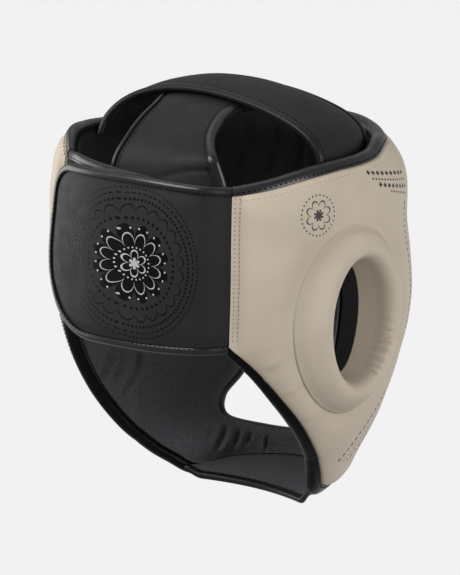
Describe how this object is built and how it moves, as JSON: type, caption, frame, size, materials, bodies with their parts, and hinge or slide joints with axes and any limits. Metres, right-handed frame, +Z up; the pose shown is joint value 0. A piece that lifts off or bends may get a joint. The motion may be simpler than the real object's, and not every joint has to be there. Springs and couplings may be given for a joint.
{
  "type": "muay thai headgear",
  "caption": "Padded leather headgear with cheek and chin cover, raised ear rings, a rear closure flap and a crown band with a rear strap.",
  "frame": {"origin": "middle of the head hollow at the height of the brow", "axes": "+Z up towards the crown, -Y towards the face opening, +X towards the wearer's left"},
  "size_m": [0.2124, 0.2102, 0.2561],
  "materials": {
    "sand_leather": "smooth matt sand leather over foam",
    "dark_leather": "matt black leather",
    "black_binding": "satin black rolled binding",
    "black_lining": "matt black lining",
    "loop_cloth": "black loop cloth"
  },
  "bodies": {
    "root": {"outer_shell": "sand_leather", "inner_lining": "black_lining", "right_ear_ring": "sand_leather", "left_ear_ring": "sand_leather", "closure_flap": "dark_leather", "rear_tab": "loop_cloth", "crown_band": "dark_leather", "crown_rear_strap": "dark_leather", "chin_shelf": "black_lining", "top_rim_binding": "black_binding", "lower_edge_binding": "black_binding", "face_opening_binding": "black_binding", "flap_binding": "black_binding", "tab_binding": "black_binding", "crown_rear_binding": "black_binding", "crown_front_binding": "black_binding", "strap_left_binding": "black_binding", "strap_right_binding": "black_binding", "shelf_binding": "black_binding"}
  },
  "joints": []
}
